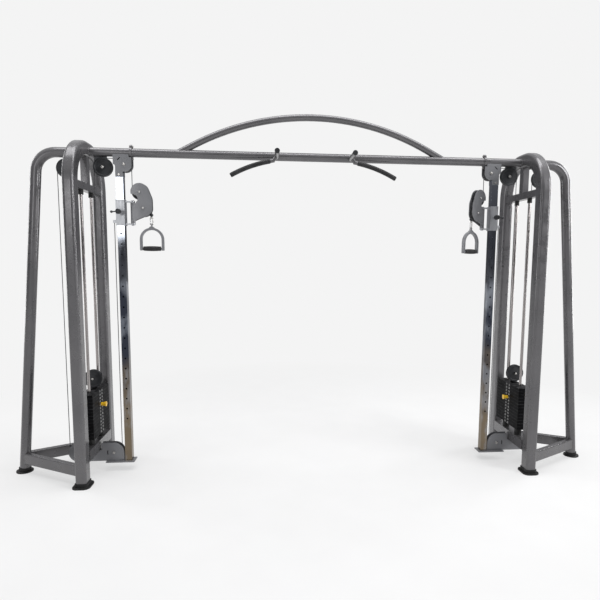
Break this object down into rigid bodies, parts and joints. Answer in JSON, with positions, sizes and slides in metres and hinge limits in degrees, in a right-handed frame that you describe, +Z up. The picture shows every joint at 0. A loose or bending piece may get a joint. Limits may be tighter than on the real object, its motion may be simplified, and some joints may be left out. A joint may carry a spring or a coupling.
{
  "type": "cable crossover machine",
  "caption": "Gym cable crossover: weight towers joined by a crossbar and top arch, sliding swivel pulleys on chrome columns, stirrup handles and pull-up grips.",
  "frame": {"origin": "on the floor, midway between the two towers, in the middle plane of the arched frames", "axes": "+X along the crossbar to the right tower, +Y to the back (away from the pull-up handles), +Z up"},
  "size_m": [4.35, 0.722, 2.606],
  "materials": {
    "frame_paint": "satin silver-grey paint",
    "chrome": "polished, plated tube",
    "bright_steel": "bright zinc-plated fasteners and pins",
    "black_plastic": "moulded black nylon",
    "black_rubber": "matte black rubber",
    "stack_steel": "black powder coat",
    "cable": "black plastic-coated steel cable",
    "grip_rubber": "textured black hand grip",
    "pin_yellow": "yellow plastic knob",
    "bracket_paint": "satin grey painted sheet steel",
    "carriage_steel": "satin plated sleeve"
  },
  "bodies": {
    "frame": {"crossbar": "frame_paint", "arch_tube": "frame_paint", "pullup_bars": "frame_paint", "pullup_grips": "grip_rubber", "outer_legs": "frame_paint", "arched_frames": "frame_paint", "stub_beams": "frame_paint", "flange_bolts": "bright_steel", "frame_braces": "frame_paint", "cable_housings": "bracket_paint", "columns": "chrome", "pulley_brackets": "bracket_paint", "guide_rods": "chrome", "stack_bumpers": "black_rubber", "fixed_weight_plates": "stack_steel", "pulley_axles": "bright_steel", "rubber_feet": "black_rubber", "fixed_cables": "cable", "left_column_cable": "cable", "left_stack_cable": "cable", "left_drop_cable": "cable", "right_column_cable": "cable", "right_stack_cable": "cable", "right_drop_cable": "cable"},
    "left_stack": {"left_weight_plates": "stack_steel", "left_stack_carrier": "stack_steel"},
    "left_pin": {"left_selector_pin": "pin_yellow"},
    "left_stack_pulley_body": {"left_stack_pulley": "black_plastic"},
    "left_mid_pulley_body": {"left_mid_pulley": "black_plastic"},
    "left_outer_pulley_body": {"left_outer_pulley": "black_plastic"},
    "left_column_pulley_body": {"left_column_pulley": "black_plastic"},
    "left_base_pulley_body": {"left_base_pulley": "black_plastic"},
    "left_foot_pulley_body": {"left_foot_pulley": "black_plastic"},
    "left_carriage_body": {"left_carriage": "carriage_steel"},
    "left_latch": {"left_pull_pin": "black_plastic"},
    "left_swivel": {"left_swivel_bracket": "bracket_paint", "left_handle_cable": "cable"},
    "left_upper_swivel_pulley_body": {"left_upper_swivel_pulley": "black_plastic"},
    "left_lower_swivel_pulley_body": {"left_lower_swivel_pulley": "black_plastic"},
    "left_hook": {"left_snap_hook": "bright_steel"},
    "left_stirrup_body": {"left_stirrup": "bracket_paint"},
    "left_grip_body": {"left_grip": "grip_rubber"},
    "right_stack": {"right_weight_plates": "stack_steel", "right_stack_carrier": "stack_steel"},
    "right_pin": {"right_selector_pin": "pin_yellow"},
    "right_stack_pulley_body": {"right_stack_pulley": "black_plastic"},
    "right_mid_pulley_body": {"right_mid_pulley": "black_plastic"},
    "right_outer_pulley_body": {"right_outer_pulley": "black_plastic"},
    "right_column_pulley_body": {"right_column_pulley": "black_plastic"},
    "right_base_pulley_body": {"right_base_pulley": "black_plastic"},
    "right_foot_pulley_body": {"right_foot_pulley": "black_plastic"},
    "right_carriage_body": {"right_carriage": "carriage_steel"},
    "right_latch": {"right_pull_pin": "black_plastic"},
    "right_swivel": {"right_swivel_bracket": "bracket_paint", "right_handle_cable": "cable"},
    "right_upper_swivel_pulley_body": {"right_upper_swivel_pulley": "black_plastic"},
    "right_lower_swivel_pulley_body": {"right_lower_swivel_pulley": "black_plastic"},
    "right_hook": {"right_snap_hook": "bright_steel"},
    "right_stirrup_body": {"right_stirrup": "bracket_paint"},
    "right_grip_body": {"right_grip": "grip_rubber"}
  },
  "joints": [
    {"name": "left_stack_lift", "type": "slide", "parent": "frame", "child": "left_stack", "axis": [0, 0, 1], "range_m": [0, 0.6], "deforming": ["left_stack_cable"]},
    {"name": "left_selector_pin_slide", "type": "slide", "parent": "left_stack", "child": "left_pin", "axis": [1, 0, 0], "range_m": [0, 0.075]},
    {"name": "left_stack_pulley_spin", "type": "hinge", "parent": "left_stack", "child": "left_stack_pulley_body", "pos_m": [-1.605, 0, 0.69], "axis": [0, 1, 0], "continuous": true},
    {"name": "left_mid_pulley_spin", "type": "hinge", "parent": "frame", "child": "left_mid_pulley_body", "pos_m": [-1.481, 0, 2.2], "axis": [0, 1, 0], "continuous": true},
    {"name": "left_outer_pulley_spin", "type": "hinge", "parent": "frame", "child": "left_outer_pulley_body", "pos_m": [-1.729, 0, 2.186], "axis": [0, 1, 0], "continuous": true},
    {"name": "left_column_pulley_spin", "type": "hinge", "parent": "frame", "child": "left_column_pulley_body", "pos_m": [-1.331, 0, 2.218], "axis": [0, 1, 0], "continuous": true},
    {"name": "left_base_pulley_spin", "type": "hinge", "parent": "frame", "child": "left_base_pulley_body", "pos_m": [-1.729, 0, 0.138], "axis": [0, 1, 0], "continuous": true},
    {"name": "left_foot_pulley_spin", "type": "hinge", "parent": "frame", "child": "left_foot_pulley_body", "pos_m": [-1.473, 0, 0.132], "axis": [0, 1, 0], "continuous": true},
    {"name": "left_carriage_slide", "type": "slide", "parent": "frame", "child": "left_carriage_body", "axis": [0, 0, 1], "range_m": [-1.5, 0.075], "deforming": ["left_column_cable", "left_drop_cable"]},
    {"name": "left_pull_pin_slide", "type": "slide", "parent": "left_carriage_body", "child": "left_latch", "axis": [0, 1, 0], "range_m": [0, 0.008]},
    {"name": "left_swivel_turn", "type": "hinge", "parent": "left_carriage_body", "child": "left_swivel", "pos_m": [-1.287, 0, 1.885], "axis": [0, 0, 1], "range_deg": [-100, 100]},
    {"name": "left_upper_swivel_pulley_spin", "type": "hinge", "parent": "left_swivel", "child": "left_upper_swivel_pulley_body", "pos_m": [-1.2345, 0, 2.033], "axis": [0, 1, 0], "continuous": true},
    {"name": "left_lower_swivel_pulley_spin", "type": "hinge", "parent": "left_swivel", "child": "left_lower_swivel_pulley_body", "pos_m": [-1.212, 0, 1.921], "axis": [0, 1, 0], "continuous": true},
    {"name": "left_handle_pull", "type": "slide", "parent": "left_swivel", "child": "left_hook", "axis": [0, 0, -1], "range_m": [0, 1.2], "deforming": ["left_handle_cable"]},
    {"name": "left_handle_swing", "type": "hinge", "parent": "left_hook", "child": "left_stirrup_body", "pos_m": [-1.1595, 0, 1.803], "axis": [1, 0, 0], "range_deg": [-75, 75]},
    {"name": "left_grip_spin", "type": "hinge", "parent": "left_stirrup_body", "child": "left_grip_body", "pos_m": [-1.1595, 0, 1.636], "axis": [1, 0, 0], "continuous": true},
    {"name": "right_stack_lift", "type": "slide", "parent": "frame", "child": "right_stack", "axis": [0, 0, 1], "range_m": [0, 0.6], "deforming": ["right_stack_cable"]},
    {"name": "right_selector_pin_slide", "type": "slide", "parent": "right_stack", "child": "right_pin", "axis": [-1, 0, 0], "range_m": [0, 0.075]},
    {"name": "right_stack_pulley_spin", "type": "hinge", "parent": "right_stack", "child": "right_stack_pulley_body", "pos_m": [1.605, 0, 0.69], "axis": [0, 1, 0], "continuous": true},
    {"name": "right_mid_pulley_spin", "type": "hinge", "parent": "frame", "child": "right_mid_pulley_body", "pos_m": [1.481, 0, 2.2], "axis": [0, 1, 0], "continuous": true},
    {"name": "right_outer_pulley_spin", "type": "hinge", "parent": "frame", "child": "right_outer_pulley_body", "pos_m": [1.729, 0, 2.186], "axis": [0, 1, 0], "continuous": true},
    {"name": "right_column_pulley_spin", "type": "hinge", "parent": "frame", "child": "right_column_pulley_body", "pos_m": [1.331, 0, 2.218], "axis": [0, 1, 0], "continuous": true},
    {"name": "right_base_pulley_spin", "type": "hinge", "parent": "frame", "child": "right_base_pulley_body", "pos_m": [1.729, 0, 0.138], "axis": [0, 1, 0], "continuous": true},
    {"name": "right_foot_pulley_spin", "type": "hinge", "parent": "frame", "child": "right_foot_pulley_body", "pos_m": [1.473, 0, 0.132], "axis": [0, 1, 0], "continuous": true},
    {"name": "right_carriage_slide", "type": "slide", "parent": "frame", "child": "right_carriage_body", "axis": [0, 0, 1], "range_m": [-1.5, 0.075], "deforming": ["right_column_cable", "right_drop_cable"]},
    {"name": "right_pull_pin_slide", "type": "slide", "parent": "right_carriage_body", "child": "right_latch", "axis": [0, 1, 0], "range_m": [0, 0.008]},
    {"name": "right_swivel_turn", "type": "hinge", "parent": "right_carriage_body", "child": "right_swivel", "pos_m": [1.287, 0, 1.885], "axis": [0, 0, 1], "range_deg": [-130, 70]},
    {"name": "right_upper_swivel_pulley_spin", "type": "hinge", "parent": "right_swivel", "child": "right_upper_swivel_pulley_body", "pos_m": [1.24153, -0.02625, 2.033], "axis": [-0.5, 0.866, 0], "continuous": true},
    {"name": "right_lower_swivel_pulley_spin", "type": "hinge", "parent": "right_swivel", "child": "right_lower_swivel_pulley_body", "pos_m": [1.22205, -0.0375, 1.921], "axis": [-0.5, 0.866, 0], "continuous": true},
    {"name": "right_handle_pull", "type": "slide", "parent": "right_swivel", "child": "right_hook", "axis": [0, 0, -1], "range_m": [0, 1.2], "deforming": ["right_handle_cable"]},
    {"name": "right_handle_swing", "type": "hinge", "parent": "right_hook", "child": "right_stirrup_body", "pos_m": [1.17658, -0.06375, 1.803], "axis": [0.866, 0.5, 0], "range_deg": [-75, 75]},
    {"name": "right_grip_spin", "type": "hinge", "parent": "right_stirrup_body", "child": "right_grip_body", "pos_m": [1.17658, -0.06375, 1.636], "axis": [0.866, 0.5, 0], "continuous": true}
  ],
  "couplings": [
    {"joint": "left_handle_pull", "follows": "left_stack_lift", "ratio": 2},
    {"joint": "left_stack_pulley_spin", "follows": "left_stack_lift", "rad_per_m": -16.129},
    {"joint": "left_mid_pulley_spin", "follows": "left_stack_lift", "rad_per_m": 32.258},
    {"joint": "left_column_pulley_spin", "follows": "left_stack_lift", "rad_per_m": 45.455},
    {"joint": "left_upper_swivel_pulley_spin", "follows": "left_stack_lift", "rad_per_m": -38.095},
    {"joint": "left_lower_swivel_pulley_spin", "follows": "left_stack_lift", "rad_per_m": 38.095},
    {"joint": "left_outer_pulley_spin", "follows": "left_carriage_slide", "rad_per_m": -16.129},
    {"joint": "left_base_pulley_spin", "follows": "left_carriage_slide", "rad_per_m": -16.129},
    {"joint": "left_foot_pulley_spin", "follows": "left_carriage_slide", "rad_per_m": -17.857},
    {"joint": "right_handle_pull", "follows": "right_stack_lift", "ratio": 2},
    {"joint": "right_stack_pulley_spin", "follows": "right_stack_lift", "rad_per_m": 16.129},
    {"joint": "right_mid_pulley_spin", "follows": "right_stack_lift", "rad_per_m": -32.258},
    {"joint": "right_column_pulley_spin", "follows": "right_stack_lift", "rad_per_m": -45.455},
    {"joint": "right_upper_swivel_pulley_spin", "follows": "right_stack_lift", "rad_per_m": 38.095},
    {"joint": "right_lower_swivel_pulley_spin", "follows": "right_stack_lift", "rad_per_m": -38.095},
    {"joint": "right_outer_pulley_spin", "follows": "right_carriage_slide", "rad_per_m": 16.129},
    {"joint": "right_base_pulley_spin", "follows": "right_carriage_slide", "rad_per_m": 16.129},
    {"joint": "right_foot_pulley_spin", "follows": "right_carriage_slide", "rad_per_m": 17.857}
  ]
}
